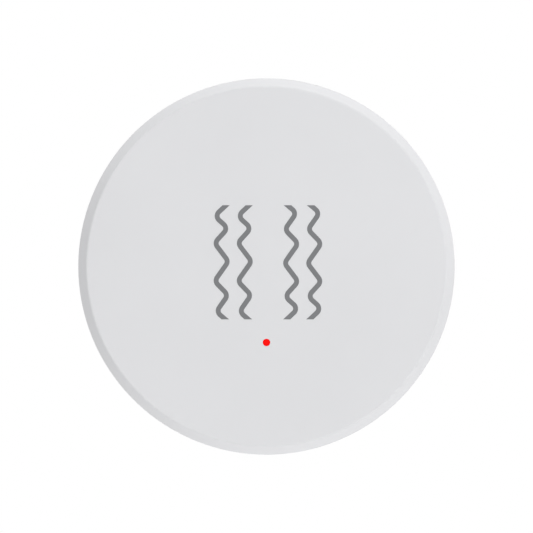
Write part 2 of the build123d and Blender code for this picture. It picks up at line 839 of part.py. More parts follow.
pieces = {
    "front_cover": front_cover,
    "light_pipe": light_pipe,
    "rear_housing": rear_housing,
    "housing_seal": housing_seal,
    "housing_screws": housing_screws,
    "battery_door": battery_door,
    "door_seal": door_seal,
    "pairing_button": pairing_button,
    "button_seal": button_seal,
    "adhesive_pad_left": adhesive_pad_left,
    "adhesive_pad_right": adhesive_pad_right,
    "circuit_board": circuit_board,
    "radio_chip": radio_chip,
    "accelerometer": accelerometer,
    "chip_antenna": chip_antenna,
    "main_crystal": main_crystal,
    "clock_crystal": clock_crystal,
    "inductors": inductors,
    "resistors": resistors,
    "capacitors": capacitors,
    "buffer_capacitor": buffer_capacitor,
    "led_base": led_base,
    "led_lens": led_lens,
    "switch_base": switch_base,
    "switch_cover": switch_cover,
    "switch_plunger": switch_plunger,
    "snap_dome": snap_dome,
    "cell_can": cell_can,
    "cell_cap": cell_cap,
    "cell_gasket": cell_gasket,
    "cell_core": cell_core,
    "positive_contact": positive_contact,
    "negative_contact": negative_contact,
}
os.makedirs("parts", exist_ok=True)
for name, piece in pieces.items():
    piece.part.label = name
    export_step(piece.part, f"parts/{name}.step")
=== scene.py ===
# %% [markdown]
# # A vibration sensor tag, dressed in Blender
#
# The tag is a round white sensor that sticks to a wall or a machine. Its working parts come packed
# from CAD, at their real size and in their real place. This lesson loads them, replaces the few
# that need a finer mesh, and gives every piece a finish built from nodes, so that nothing is a
# single flat colour.

# %% Load the packed tag
import random
from contextlib import contextmanager
from math import asin, cos, degrees, pi, radians, sin

import bmesh
import bpy
from mathutils import Matrix, Vector


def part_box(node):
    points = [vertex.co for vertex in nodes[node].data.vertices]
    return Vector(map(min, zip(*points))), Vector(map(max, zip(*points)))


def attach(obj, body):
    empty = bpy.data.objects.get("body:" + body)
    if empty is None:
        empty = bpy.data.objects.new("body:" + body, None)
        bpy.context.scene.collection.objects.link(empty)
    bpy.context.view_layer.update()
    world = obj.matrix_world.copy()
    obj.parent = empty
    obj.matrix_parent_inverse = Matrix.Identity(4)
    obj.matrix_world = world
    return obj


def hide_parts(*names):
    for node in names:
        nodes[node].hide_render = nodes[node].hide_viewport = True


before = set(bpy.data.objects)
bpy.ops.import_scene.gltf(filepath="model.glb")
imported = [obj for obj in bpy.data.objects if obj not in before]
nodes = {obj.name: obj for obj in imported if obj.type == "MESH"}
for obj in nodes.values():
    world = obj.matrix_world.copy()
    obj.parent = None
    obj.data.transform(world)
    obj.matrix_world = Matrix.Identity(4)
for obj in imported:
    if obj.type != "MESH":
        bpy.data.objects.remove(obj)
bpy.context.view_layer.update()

mm = 0.001

# %% [markdown]
# ## Tools for nodes and objects
#
# Materials, the world and Geometry Nodes are all node trees. One class adds a node and fills its
# inputs, with a plain value or with another node's output, so that a tree reads from top to bottom.
# A function beside it puts a mesh, a lamp or a camera into the scene.

# %% Add a node or an object
class Tree:
    """A node tree that is built one output after another."""

    def __init__(self, tree):
        self.tree = tree

    def node(self, kind, sockets=None, **settings):
        """Adds a node. sockets maps an input's name or number to a value, an output or a list of them."""
        made = self.tree.nodes.new(kind)
        for setting, value in settings.items():
            setattr(made, setting, value)
        for key, given in (sockets or {}).items():
            for value in given if isinstance(given, list) else [given]:
                if isinstance(value, bpy.types.NodeSocket):
                    self.tree.links.new(value, made.inputs[key])
                else:
                    made.inputs[key].default_value = value
        return made

    def add(self, kind, sockets=None, output=0, **settings):
        """Adds a node and returns one of its outputs."""
        return self.node(kind, sockets, **settings).outputs[output]

    def math(self, operation, first, second=0.0):
        """One sum of one or two values or outputs."""
        return self.add("ShaderNodeMath", {0: first, 1: second}, operation=operation)


def add_object(name, data):
    """Object at the origin of the scene."""
    made = bpy.data.objects.new(name, data)
    bpy.context.collection.objects.link(made)
    return made


# %% [markdown] ## A kit for finishes  Real surfaces differ in three ways at once: colour, gloss and
# relief. Every pattern is measured in metres on the object's own coordinates, so a grain of 0.2 mm
# stays 0.2 mm on every piece. A noise mostly lies between 0.3 and 0.7, so that is the range from
# which colours and gloss are spread.

# %% Patterns
noise_low, noise_high = 0.3, 0.7
crisp = 0.01 * mm


class Patterns(Tree):
    """A material's tree with patterns measured on Object coordinates."""

    def __init__(self, tree):
        super().__init__(tree)
        self.place = self.add("ShaderNodeTexCoord", output="Object")

    def axis(self, letter):
        """One coordinate of the place, in metres."""
        return self.add("ShaderNodeSeparateXYZ", {0: self.place}, letter)

    def length(self, vector):
        """How long a vector is."""
        return self.add("ShaderNodeVectorMath", {0: vector}, "Value", operation="LENGTH")

    def noise(self, size, detail=2.0, stretch=(1, 1, 1)):
        """Blotches about size metres across, drawn out along an axis by stretch."""
        scale = tuple(1 / (size * along) for along in stretch)
        placed = self.add("ShaderNodeMapping", {"Vector": self.place, "Scale": scale})
        return self.add("ShaderNodeTexNoise", {"Vector": placed, "Scale": 1.0, "Detail": detail})

    def cells(self, size):
        """Distance from the middles of cells about size metres apart."""
        return self.add("ShaderNodeTexVoronoi", {"Vector": self.place, "Scale": 1 / size})

    def radius(self, x=0.0, z=0.0):
        """Distance from an axis square to the wall through (x, z)."""
        from_axis = self.add("ShaderNodeVectorMath", {0: self.place, 1: (x, 0, z)}, operation="SUBTRACT")
        flat = self.add("ShaderNodeVectorMath", {0: from_axis, 1: (1, 0, 1)}, operation="MULTIPLY")
        return self.length(flat)

    def rings(self, size, x=0.0, z=0.0):
        """Fine lathe rings about size metres apart, round the same kind of axis."""
        sockets = {"W": self.math("DIVIDE", self.radius(x, z), size), "Scale": 1.0, "Detail": 1.0}
        return self.add("ShaderNodeTexNoise", sockets, noise_dimensions="1D")

    def away(self, value, middle):
        """How far a value lies from a middle one."""
        return self.math("ABSOLUTE", self.math("SUBTRACT", value, middle))

    def spread(self, factor, low, high, start=noise_low, end=noise_high):
        """Maps a noise, or any range from start to end, to low and high."""
        sockets = {"Value": factor, "From Min": start, "From Max": end, "To Min": low, "To Max": high}
        return self.add("ShaderNodeMapRange", sockets)

    def above(self, value, at, soft=crisp):
        """0 below a value and 1 above it, with a soft step."""
        return self.spread(value, 0.0, 1.0, at - soft, at + soft)

    def below(self, value, at, soft=crisp):
        """1 below a value and 0 above it, with a soft step."""
        return self.spread(value, 1.0, 0.0, at - soft, at + soft)


print("patterns:", ", ".join(name for name in vars(Patterns) if not name.startswith("_")))

# %% Finish kit
def opaque(colour):
    """A colour of three numbers gets its fourth; an output stays as it is."""
    return colour if isinstance(colour, bpy.types.NodeSocket) else (*colour, 1.0)


def shade(colour, factor):
    """The colour, lighter or darker by a factor."""
    return tuple(channel * factor for channel in colour)


class Finish(Patterns):
    """One Principled material that takes patterns for its colour, gloss and relief."""

    def __init__(self, name, **sockets):
        self.material = bpy.data.materials.new(name)
        self.material.use_nodes = True
        super().__init__(self.material.node_tree)
        self.shader = self.tree.nodes["Principled BSDF"]
        self.relief = None
        for socket, value in sockets.items():
            self.shader.inputs[socket.replace("_", " ")].default_value = value

    def ramp(self, factor, *stops):
        """Colour ramp with (position, colour) stops."""
        made = self.node("ShaderNodeValToRGB", {0: factor})
        elements = made.color_ramp.elements
        while len(elements) < len(stops):
            elements.new(1.0)
        for element, (position, colour) in zip(elements, stops):
            element.position = position
            element.color = (*colour, 1.0)
        return made.outputs["Color"]

    def blend(self, noise, first, second):
        """The first colour where a noise is low and the second where it is high."""
        return self.ramp(noise, (noise_low, first), (noise_high, second))

    def mottle(self, noise, colour, dark, light=1.0):
        """One colour, darker where a noise is low."""
        return self.blend(noise, shade(colour, dark), shade(colour, light))

    def mix(self, share, first, second):
        """Colour between two colours or outputs."""
        return self.add("ShaderNodeMixRGB", {0: share, 1: opaque(first), 2: opaque(second)})

    def bump(self, height, depth):
        """Adds relief of that depth in metres to what is there."""
        sockets = {"Height": height, "Distance": depth, "Strength": 1.0}
        if self.relief is not None:
            sockets["Normal"] = self.relief
        self.relief = self.add("ShaderNodeBump", sockets)

    def done(self, colour, **patterns):
        """Links the colour, the relief and the other patterns, and returns the material."""
        patterns["Base_Color"] = colour
        if self.relief is not None:
            patterns["Normal"] = self.relief
        for socket, pattern in patterns.items():
            self.tree.links.new(pattern, self.shader.inputs[socket.replace("_", " ")])
        return self.material

    def done_part_metal(self, share, body, metal, body_rough, metal_rough):
        """Ends a finish that is plain where the share is 0 and metal where it is 1."""
        rough = self.spread(share, body_rough, metal_rough, 0.0, 1.0)
        return self.done(self.mix(share, body, metal), Roughness=rough, Metallic=share)


print("uses of a pattern:", ", ".join(name for name in vars(Finish) if not name.startswith("_")))

# %% [markdown]
# ## White shell
#
# The cover and the plate are moulded in one white plastic. The mould's steel was eroded to a fine
# matt texture, which breaks up reflections, and the plastic's shade drifts by a percent or so over
# a few centimetres. Handling polishes the texture a little in patches, so the gloss varies too. A
# picture of such plastic would need a UV map and would blur close up. Noise needs no map and stays
# sharp, so the finish is made of four noises of different sizes.

# %% Moulded plastic
shade_patch = 14 * mm
gloss_patch = 4 * mm
sink_size = 9 * mm
sink_depth = 0.006 * mm


def moulded(name, colour, gloss=(0.46, 0.58), grain=0.16 * mm, depth=0.0009 * mm, drift=0.012):
    """Textured plastic: fine grain in relief, patches of gloss and a faint drift of shade."""
    made = Finish(name, Specular_IOR_Level=0.3)
    tone = made.mottle(made.noise(shade_patch, detail=3.0), colour, 1 - drift, 1 + drift)
    rough = made.spread(made.noise(gloss_patch, detail=4.0), *gloss)
    made.bump(made.noise(grain, detail=1.0), depth)
    made.bump(made.noise(sink_size, detail=0.0), sink_depth)
    return made.done(tone, Roughness=rough)


shell_colour = (0.745, 0.7475, 0.763)
shell_white = moulded("shell_white_finish", shell_colour)
door_white = moulded("door_white_finish", shade(shell_colour, 0.985), gloss=(0.36, 0.48), grain=0.22 * mm)
button_grey = moulded("button_grey_finish", (0.42, 0.43, 0.45), gloss=(0.3, 0.42), grain=0.12 * mm)
print("shell finishes", shell_white.name, door_white.name, button_grey.name)

# %% [markdown]
# ## Camera at the photograph's place
#
# The photograph looks straight at the face, and the disc's edge is 376.5 of its 533 pixels across.
# The widest ring of the cover lies a little nearer to the camera than the wall, so the field of
# view is worked out at that ring. A long distance keeps the rim's width as even as it is there.

# %% Camera
photo_width_px = 533
disc_width_px = 376.5
camera_distance = 500 * mm
rim_depth = 1.02 * mm

cover_low, cover_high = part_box("front_cover")
tag_radius = cover_high.x
tag_front = -cover_low.y
field = 2 * tag_radius * photo_width_px / disc_width_px
camera_data = bpy.data.cameras.new("camera")
camera_data.lens = camera_data.sensor_width * (camera_distance - tag_front + rim_depth) / field
camera = add_object("camera", camera_data)
camera.location = (0, -camera_distance, 0)
camera.rotation_euler = (radians(90), 0, 0)
bpy.context.scene.camera = camera
print("field at the rim", round(field / mm, 2), "mm, lens", round(camera_data.lens, 1), "mm")

# %% [markdown]
# ## Light and background
#
# The photograph is evenly lit: the face is a plain light grey, the chamfered rim is brighter on the
# right, at the top and below, and only its left side is darker. So three soft boxes stand far out
# at the top, below and at the lower right, where they graze the face and meet the rim square on,
# and nothing stands on the left. A weaker one fills from the front, and two light the back. A
# lamp's level is the brightness that a white card turned to it would get. The world gives even
# light from all round, and shows as white to the eye and in reflections.

# %% Soft boxes
lamp_distance = 400 * mm
lamp_width = 240 * mm
graze = radians(69)


def grazing(turn):
    """Direction at the grazing angle, turned in degrees about the tag's axis from its right side."""
    around = radians(turn)
    return (sin(graze) * cos(around), -cos(graze), sin(graze) * sin(around))


lamps = {
    "lamp_top": (grazing(76), 0.39),
    "lamp_right": (grazing(-40), 0.2),
    "lamp_below": (grazing(-92), 0.23),
    "lamp_front": ((0.25, -1, 0.35), 0.12),
    "lamp_behind_right": ((0.4, 1, 0.2), 0.22),
    "lamp_behind_left": ((-0.3, 1, 0.1), 0.11),
}
for name, (direction, level) in lamps.items():
    lamp_data = bpy.data.lights.new(name, "AREA")
    lamp_data.size = lamp_width
    lamp_data.energy = level * pi**2 * lamp_distance**2
    lamp = add_object(name, lamp_data)
    outward = Vector(direction).normalized()
    lamp.location = outward * lamp_distance
    lamp.rotation_euler = outward.to_track_quat("Z", "Y").to_euler()
    lamp.visible_camera = False
print("lamps", len(bpy.data.lights))

# %% World
ambient = 0.63
white_rays = ("Is Camera Ray", "Is Glossy Ray", "Is Transmission Ray")


def seen_directly(tree):
    """1 for rays that look straight, by a reflection or through glass, and 0 for those that light."""
    straight, reflected, through = (tree.add("ShaderNodeLightPath", output=ray) for ray in white_rays)
    return tree.math("MAXIMUM", tree.math("MAXIMUM", straight, reflected), through)


world = bpy.data.worlds.new("white_surround")
bpy.context.scene.world = world
world.use_nodes = True
surround = Tree(world.node_tree)
strengths = {"Value": seen_directly(surround), "To Min": ambient, "To Max": 1.0}
strength = surround.add("ShaderNodeMapRange", strengths)
background = surround.tree.nodes["Background"]
background.inputs["Color"].default_value = (1, 1, 1, 1)
surround.tree.links.new(strength, background.inputs["Strength"])
bpy.context.scene.view_settings.view_transform = "Standard"
print("world light", ambient)

# %% [markdown]
# ## Floor
#
# The tag seems to float on white in the photograph. Its floor is a sheet of pale paper, hung far
# enough below to stay out of the front view. Towards its edge the paper glows up to white for the
# eye only, so that it ends without a line.

# %% Floor
floor_drop = 450 * mm
floor_half = 600 * mm
paper_blotch = 30 * mm
glow_near, glow_far = 0.42, 0.75

corners = ((-1, -1), (1, -1), (1, 1), (-1, 1))
floor_mesh = bpy.data.meshes.new("floor")
floor_mesh.from_pydata([(x * floor_half, y * floor_half, -floor_drop) for x, y in corners], [], [range(4)])
floor = add_object("floor", floor_mesh)

paper = Finish("floor_paper", Roughness=0.9, Specular_IOR_Level=0.1, Emission_Color=(1, 1, 1, 1))
paper_tone = paper.mottle(paper.noise(paper_blotch), (0.8, 0.8, 0.8), 0.975)
lift = paper.spread(paper.length(paper.place), glow_near, glow_far, floor_drop, floor_half)
glow = paper.math("MULTIPLY", lift, seen_directly(paper))
floor_mesh.materials.append(paper.done(paper_tone, Emission_Strength=glow))
print("floor", round(floor_drop / mm), "mm below the middle")

# %% [markdown]
# ## A bench for flat work
#
# The tag hangs on a wall, but it is easier to draw its small pieces lying on a bench, with the
# wall at the bottom and the front face on top. On the bench x runs right, y runs up the wall and z
# is the depth from the wall. One turn about X stands the finished mesh up in its real place.

# %% Bench tools
stand_up = Matrix.Rotation(radians(90), 4, "X")


def on_bench(point):
    """A point of the tag as it lies on the bench."""
    return Vector((point[0], point[2], -point[1]))


def box_of(points):
    """Lowest and highest corner of some points."""
    return Vector(map(min, zip(*points))), Vector(map(max, zip(*points)))


def bench_box(node):
    """Lowest and highest bench corner of a CAD node."""
    return box_of([on_bench(corner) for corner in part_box(node)])


def bench_mesh(name, points, edges=(), faces=()):
    """Mesh drawn on the bench."""
    mesh = bpy.data.meshes.new(name)
    mesh.from_pydata([Vector(point) for point in points], edges, faces)
    return mesh


def outline_mesh(name, points):
    """Open line of points on the bench."""
    return bench_mesh(name, points, edges=[(corner, corner + 1) for corner in range(len(points) - 1)])


def spaced(start, end, steps):
    """Values from start to end in equal steps."""
    return [start + (end - start) * step / steps for step in range(steps + 1)]


def all_round(steps):
    """Angles in equal steps round a full turn."""
    return spaced(0, 2 * pi, steps)[:-1]


def polar(reach, turn):
    """Flat point at a distance and an angle."""
    return Vector((cos(turn), sin(turn))) * reach


@contextmanager
def edited(mesh):
    """Opens a mesh for editing, and writes it back at the end."""
    work = bmesh.new()
    work.from_mesh(mesh)
    yield work
    work.to_mesh(mesh)
    work.free()


def add_piece(name, mesh, body, *replaced, slot=None):
    """Stands a bench mesh up, and makes it a piece that rides on a body."""
    mesh.name = name
    mesh.transform(stand_up)
    piece = add_object(name, mesh)
    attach(piece, body)
    if replaced:
        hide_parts(*replaced)
    print("piece", name, "faces", len(mesh.polygons))
    return piece


def in_mm(corners):
    """Corners in millimetres, to be printed."""
    return [[round(value / mm, 3) for value in corner] for corner in corners]


print("cover on the bench", in_mm(bench_box("front_cover")))

# %% [markdown]
# ## Growing meshes with Geometry Nodes
#
# A Geometry Nodes tree is a recipe with named inputs. It takes a starting mesh from the bench,
# gets its inputs by their identifiers, and gives back a plain mesh. The helper object that carried
# it is gone afterwards. A loop in Python could repeat a shape as well, but in a tree each size is
# one named input, and the shape follows when it is changed.

# %% Grow a mesh
socket_types = {
    float: "NodeSocketFloat", int: "NodeSocketInt",
    "object": "NodeSocketObject", "material": "NodeSocketMaterial",
}


class Recipe(Tree):
    """One Geometry Nodes tree, with an input for each keyword besides its geometry."""

    def __init__(self, name, **inputs):
        super().__init__(bpy.data.node_groups.new(name, "GeometryNodeTree"))
        new_socket = self.tree.interface.new_socket
        for way in ("INPUT", "OUTPUT"):
            new_socket("Geometry", in_out=way, socket_type="NodeSocketGeometry")
        for label, kind in inputs.items():
            new_socket(label.replace("_", " "), in_out="INPUT", socket_type=socket_types[kind])
        self.given = self.node("NodeGroupInput").outputs

    def end(self, geometry):
        """Ends the tree with Realize Instances and Set Material."""
        plain = self.add("GeometryNodeRealizeInstances", {"Geometry": geometry})
        painted = self.add("GeometryNodeSetMaterial", {"Geometry": plain, "Material": self.given["Material"]})
        self.node("NodeGroupOutput", {"Geometry": painted})
        print("recipe", self.tree.name, "nodes", len(self.tree.nodes))

    def grow(self, mesh, **inputs):
        """The mesh that the recipe makes of a starting mesh."""
        helper = add_object("helper", mesh)
        recipe = helper.modifiers.new("recipe", "NODES")
        recipe.node_group = self.tree
        for item in self.tree.interface.items_tree:
            label = item.name.replace(" ", "_")
            if item.in_out == "INPUT" and label in inputs:
                recipe[item.identifier] = inputs[label]
        seen = bpy.context.evaluated_depsgraph_get()
        grown = bpy.data.meshes.new_from_object(helper.evaluated_get(seen), depsgraph=seen)
        bpy.data.objects.remove(helper)
        grown.materials.clear()
        grown.materials.append(inputs["Material"])
        return grown


print("kinds of input", len(socket_types))

# %% [markdown]
# ## Printed sign
#
# Four wavy lines stand for vibration. Real ones are screen printed: a film of grey ink with sharp
# edges, about a hundredth of a millimetre thick. A pattern in the face's finish could show them,
# but such a film catches the light at its edge, so the ink is a mesh. One line is drawn by its
# corners and the recipe does the rest: it rounds the corners, gives the line its width and
# thickness, trims both ends level, sets a second line beside the first, and turns a copy of the
# pair half round.

# %% Sign recipe
sign_corner_steps = 10

waves = Recipe(
    "wavy_sign", Corner_Radius=float, Stroke=float, Ink=float, Height=float, Line_Pitch=float,
    Material="material",
)
given = waves.given
line = waves.add("GeometryNodeMeshToCurve", {"Mesh": given["Geometry"]})
rounding = {"Curve": line, "Count": sign_corner_steps, "Radius": given["Corner Radius"]}
rounded = waves.add("GeometryNodeFilletCurve", rounding, mode="POLY")
ink_size = {"Width": given["Stroke"], "Height": given["Ink"]}
section = waves.add("GeometryNodeCurvePrimitiveQuadrilateral", ink_size)
swept = {"Curve": rounded, "Profile Curve": section, "Fill Caps": True}
ribbon = waves.add("GeometryNodeCurveToMesh", swept)
trim_size = waves.add("ShaderNodeCombineXYZ", {axis: given["Height"] for axis in range(3)})
trim_box = waves.add("GeometryNodeMeshCube", {"Size": trim_size})
both_sides = {1: [ribbon, trim_box]}
trimmed = waves.add("GeometryNodeMeshBoolean", both_sides, operation="INTERSECT", solver="EXACT")
side_step = waves.add("ShaderNodeCombineXYZ", {0: given["Line Pitch"]})
places = waves.add("GeometryNodeMeshLine", {"Count": 2, "Offset": side_step}, mode="OFFSET")
pair = waves.add("GeometryNodeInstanceOnPoints", {"Points": places, "Instance": trimmed})
half_turn = waves.add("GeometryNodeTransform", {"Geometry": pair, "Rotation": (0, 0, pi)})
waves.end(waves.add("GeometryNodeJoinGeometry", {0: [pair, half_turn]}))

# %% Sign finish and piece
def printed_ink(name, colour):
    """Screen-printed ink: nearly even, with the mesh of the screen in faint relief."""
    made = Finish(name, Specular_IOR_Level=0.35)
    tone = made.mottle(made.noise(0.9 * mm, detail=3.0), colour, 0.97, 1.03)
    made.bump(made.cells(0.14 * mm), 0.0006 * mm)
    return made.done(tone, Roughness=made.spread(made.noise(0.5 * mm), 0.48, 0.6))


sign_centre = (0.162 * mm, 0.469 * mm)
sign_height = 12.7 * mm
sign_stroke = 0.545 * mm
sign_corner_radius = 0.615 * mm
sign_pitch = 2.577 * mm
ink_proud = 0.012 * mm
ink_sunk = 0.01 * mm
line_corners_mm = (
    (-3.75, 7.2), (-5.95, 5.15), (-4.45, 3.8), (-5.95, 2.15), (-4.4, 0.1),
    (-5.95, -2.1), (-4.45, -3.65), (-5.75, -5.5), (-3.75, -7.2),
)
sign = waves.grow(
    outline_mesh("line", [(x * mm, y * mm, 0) for x, y in line_corners_mm]),
    Corner_Radius=sign_corner_radius, Stroke=sign_stroke, Ink=ink_proud + ink_sunk, Height=sign_height,
    Line_Pitch=sign_pitch, Material=printed_ink("ink_grey", (0.196, 0.2, 0.208)),
)
sign.transform(Matrix.Translation((*sign_centre, tag_front + (ink_proud - ink_sunk) / 2)))
sign.shade_flat()
add_piece("vibration_sign", sign, "housing")

# %% [markdown]
# ## Turned pieces
#
# A window, a knob or a pin is turned: half its outline, spun about an axis. A Screw modifier could
# do it too, but a recipe keeps the steps and the material among its named inputs. In Geometry Nodes
# the outline is carried round a small circle by Curve to Mesh. The circle's radius is taken off the
# outline first, so the outline's own axis lands on the circle's centre. Curve to Mesh lays the
# outline's y downwards, so the same step mirrors it, and Merge by Distance closes the poles.

# %% Turning recipe
touching = 0.0001 * mm

turning = Recipe("turned_piece", Steps=int, Guide_Radius=float, Material="material")
given = turning.given
inward_step = turning.add("ShaderNodeCombineXYZ", {0: turning.math("MULTIPLY", given["Guide Radius"], -1.0)})
shift = {"Geometry": given["Geometry"], "Translation": inward_step, "Scale": (1, -1, 1)}
half_outline = turning.add("GeometryNodeMeshToCurve", {"Mesh": turning.add("GeometryNodeTransform", shift)})
guide_size = {"Resolution": given["Steps"], "Radius": given["Guide Radius"]}
guide = turning.add("GeometryNodeCurvePrimitiveCircle", guide_size, mode="RADIUS")
spun = turning.add("GeometryNodeCurveToMesh", {"Curve": guide, "Profile Curve": half_outline})
turning.end(turning.add("GeometryNodeMergeByDistance", {"Geometry": spun, "Distance": touching}))

# %% Turned mesh
sharp_angle = radians(35)
guide_radius = 1 * mm


def outward_faces(mesh):
    """Turns every face of a closed mesh outwards."""
    with edited(mesh) as work:
        bmesh.ops.recalc_face_normals(work, faces=work.faces)


def smooth_by_angle(mesh, angle=sharp_angle):
    """Smooth faces with sharp edges where they turn by more than an angle."""
    with edited(mesh) as work:
        for face in work.faces:
            face.smooth = True
        for side in work.edges:
            side.smooth = len(side.link_faces) == 2 and side.calc_face_angle(pi) < angle


def turned(profile, steps, material, centre=(0, 0)):
    """Closed turned mesh on the bench from (radius, depth) points, about an upright axis."""
    outline = outline_mesh("outline", [(radius, depth, 0) for radius, depth in profile])
    made = turning.grow(outline, Steps=steps, Guide_Radius=guide_radius, Material=material)
    outward_faces(made)
    smooth_by_angle(made)
    made.transform(Matrix.Translation((*centre, 0)))
    return made


def rounded_corner(centre, radius, start, end, steps):
    """Points of an arc between two angles in degrees, for a turned profile."""
    return [Vector(centre) + polar(radius, radians(turn)) for turn in spaced(start, end, steps)]


print("edges are sharp from", round(degrees(sharp_angle)), "degrees")

# %% [markdown]
# ## Indicator window
#
# The red dot is the end of a clear peg that pipes the lamp's light through the face. It is lit in
# the photograph. A lamp behind clear plastic would look right too, but so small a dot would take
# many more samples to come out clean. The peg's end is polished and a little crowned, and the light
# is strongest in its middle, so the glow is a ramp on the distance from the peg's axis.

# %% Lit red finish
pipe_low, pipe_high = bench_box("light_pipe")
pipe_centre = (pipe_low.xy + pipe_high.xy) / 2
pipe_radius = 0.4 * mm

lit = Finish("indicator_red_finish", Roughness=0.22, Specular_IOR_Level=0.06, Emission_Strength=0.62)
off_axis = lit.math("DIVIDE", lit.radius(*pipe_centre), pipe_radius)
lit_tone = lit.ramp(off_axis, (0.0, (1.0, 0.004, 0.002)), (0.75, (1.0, 0.001, 0.0)), (1.0, (0.88, 0.0, 0.0)))
# The plastic's own red is also painted lighter in the middle and darker at the rim: painted light that
# follows the pipe's glow.
plastic_tone_painted_glow = lit.ramp(off_axis, (0.0, (0.5, 0.004, 0.003)), (1.0, (0.35, 0.002, 0.002)))
lit.bump(lit.noise(0.3 * mm), 0.0004 * mm)
indicator_red = lit.done(plastic_tone_painted_glow, Emission_Color=lit_tone)
print("window", round(2 * pipe_radius / mm, 2), "mm across")

# %% Window
pipe_foot_radius = (pipe_high.x - pipe_low.x) / 2
pipe_foot_back = pipe_low.z
pipe_step = pipe_foot_back + 0.83 * mm
pipe_end_round = 0.05 * mm
pipe_crown = 0.012 * mm
crown_steps = 6

crown_radius = pipe_radius - pipe_end_round
crown = [
    (crown_radius * share, tag_front - pipe_crown * share**2)
    for share in spaced(1, 0, crown_steps)[1:]
]
window = turned(
    [
        (0, pipe_foot_back),
        (pipe_foot_radius, pipe_foot_back),
        (pipe_foot_radius, pipe_step),
        (pipe_radius, pipe_step),
        *rounded_corner((crown_radius, tag_front - pipe_crown - pipe_end_round), pipe_end_round, 0, 90, 5),
        *crown,
    ],
    steps=64, material=indicator_red, centre=pipe_centre,
)
add_piece("indicator_window", window, "housing", "light_pipe", slot="indicator_red")

# %% [markdown]
# ## Pairing button
#
# The button sits in the back plate. A finger or a pin presses it, so its end is dished, with a
# small round at the rim. Behind the plate it has a flange with a groove for its seal, and a stem
# that reaches the switch. It could be built up from cylinders, but then every step would need its
# edges joined. Half an outline says it all, so it is turned like the window.

# %% Pairing button
button_low, button_high = bench_box("pairing_button")
seal_low, seal_high = bench_box("button_seal")
button_centre = (button_low.xy + button_high.xy) / 2
button_back, button_stem_end = button_low.z, button_high.z
button_flange_radius = (button_high.x - button_low.x) / 2
button_head_radius = 1.25 * mm
button_flange_back = 2.35 * mm
button_flange_front = 3.6 * mm
button_stem_radius = 1.0 * mm
button_round = 0.15 * mm
button_dish = 0.12 * mm
dish_steps = 8
groove_side = 0.04 * mm
groove_floor = 1.15 * mm
groove_back = seal_low.z - groove_side
groove_front = seal_high.z + groove_side

dish_radius = button_head_radius - button_round
dish = [
    (dish_radius * share, button_back + button_dish * (1 - share**2))
    for share in spaced(0, 1, dish_steps)[:-1]
]
button = turned(
    [
        *dish,
        *rounded_corner((dish_radius, button_back + button_round), button_round, -90, 0, 6),
        (button_head_radius, button_flange_back),
        (button_flange_radius, button_flange_back),
        (button_flange_radius, groove_back),
        (groove_floor, groove_back),
        (groove_floor, groove_front),
        (button_flange_radius, groove_front),
        (button_flange_radius, button_flange_front),
        (button_stem_radius, button_flange_front),
        (button_stem_radius, button_stem_end),
        (0, button_stem_end),
    ],
    steps=96, material=button_grey, centre=button_centre,
)
add_piece("button_cap", button, "button", "pairing_button", slot="button_grey")

# %% [markdown]
# ## Housing screws
#
# Four thread-forming screws hold the back plate to the cover. A thread could be swept along a helix
# and joined to a rod, but the two would cut through each other all the way. So a screw is one
# closed skin lofted through rings: a domed head, then a core whose radius rises and falls with a
# phase that runs with the depth and the angle. The recipe cuts the cross recess out of the
# head and sets a copy on each corner of a square, each turned as the driver happened to leave it.

# %% Closed skins
screw_steps = 56


def skin(name, rings):
    """Closed bench mesh through rings of points. A ring of one point is a pole; a wider end is capped."""
    points, faces, starts = [], [], []
    for ring in rings:
        starts.append(len(points))
        points += ring
    rows = list(zip(starts, rings))
    for (near, near_ring), (far, far_ring) in zip(rows, rows[1:]):
        count = max(len(near_ring), len(far_ring))
        for place in range(count):
            after = (place + 1) % count
            corners = (
                near + place % len(near_ring), near + after % len(near_ring),
                far + after % len(far_ring), far + place % len(far_ring),
            )
            faces.append(tuple(dict.fromkeys(corners)))
    faces += [range(start, start + len(ring)) for start, ring in (rows[0], rows[-1]) if len(ring) > 1]
    made = bench_mesh(name, points, faces=faces)
    with edited(made) as work:
        bmesh.ops.triangulate(work, faces=[face for face in work.faces if len(face.verts) > 4])
    outward_faces(made)
    return made


def circle(radius, depth):
    """Ring of a screw. The radius is a number or a function of the angle."""
    turns = all_round(screw_steps)
    radii = [radius(turn) if callable(radius) else radius for turn in turns]
    return [(reach * cos(turn), reach * sin(turn), depth) for reach, turn in zip(radii, turns)]


print("points on each ring of a screw", screw_steps)

# %% Screw
screw_low, screw_high = bench_box("housing_screws")
screw_back, screw_tip = screw_low.z, screw_high.z
screw_head_radius = 1.75 * mm
screw_head_height = 1.2 * mm
screw_head_round = 0.3 * mm
screw_crown = 0.14 * mm
crown_shares = (0.3, 0.6, 0.85, 1.0)
thread_radius = 0.95 * mm
core_radius = 0.72 * mm
thread_pitch = 0.8 * mm
thread_rows = 8
crest_steepness = 1.6
screw_point = 0.7 * mm
point_share = 0.35
screw_seat = screw_back + screw_head_height


def thread_ring(depth):
    """Ring of the shank at a depth: the core, with the thread's crest where the phase says."""
    to_tip = (screw_tip - depth) / screw_point
    core = core_radius * min(1.0, point_share + (1 - point_share) * to_tip)
    crest = (thread_radius - core_radius) * max(0.0, min(1.0, (depth - screw_seat) / thread_pitch, to_tip))

    def reach(turn):
        phase = (depth / thread_pitch - turn / (2 * pi)) % 1.0
        return core + crest * max(0.0, 1 - abs(2 * phase - 1) * crest_steepness)

    return circle(reach, depth)


